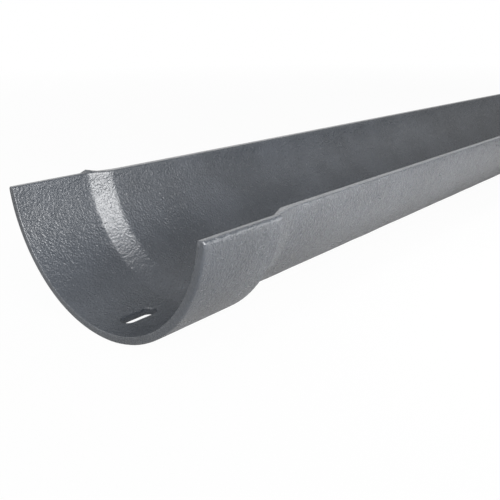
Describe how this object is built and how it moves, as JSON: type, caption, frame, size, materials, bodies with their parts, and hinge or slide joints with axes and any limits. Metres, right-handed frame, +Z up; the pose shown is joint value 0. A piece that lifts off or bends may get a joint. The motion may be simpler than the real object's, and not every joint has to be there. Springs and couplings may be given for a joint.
{
  "type": "gutter section",
  "caption": "Half-round cast gutter length, open at the top, with a socket and slotted bolt hole at one end and a plain drilled spigot at the other.",
  "frame": {"origin": "under the middle of the gutter's length, on the level surface that the socket's bottom rests on", "axes": "+X along the gutter from the socket's mouth to the spigot end, +Y across it, +Z up out of its open side"},
  "size_m": [1.874, 0.1332, 0.0613],
  "materials": {
    "painted_casting": "grey paint, satin to semi-gloss, over the fine pebbled skin of a sand casting"
  },
  "bodies": {
    "root": {"half_round_gutter": "painted_casting"}
  },
  "joints": []
}
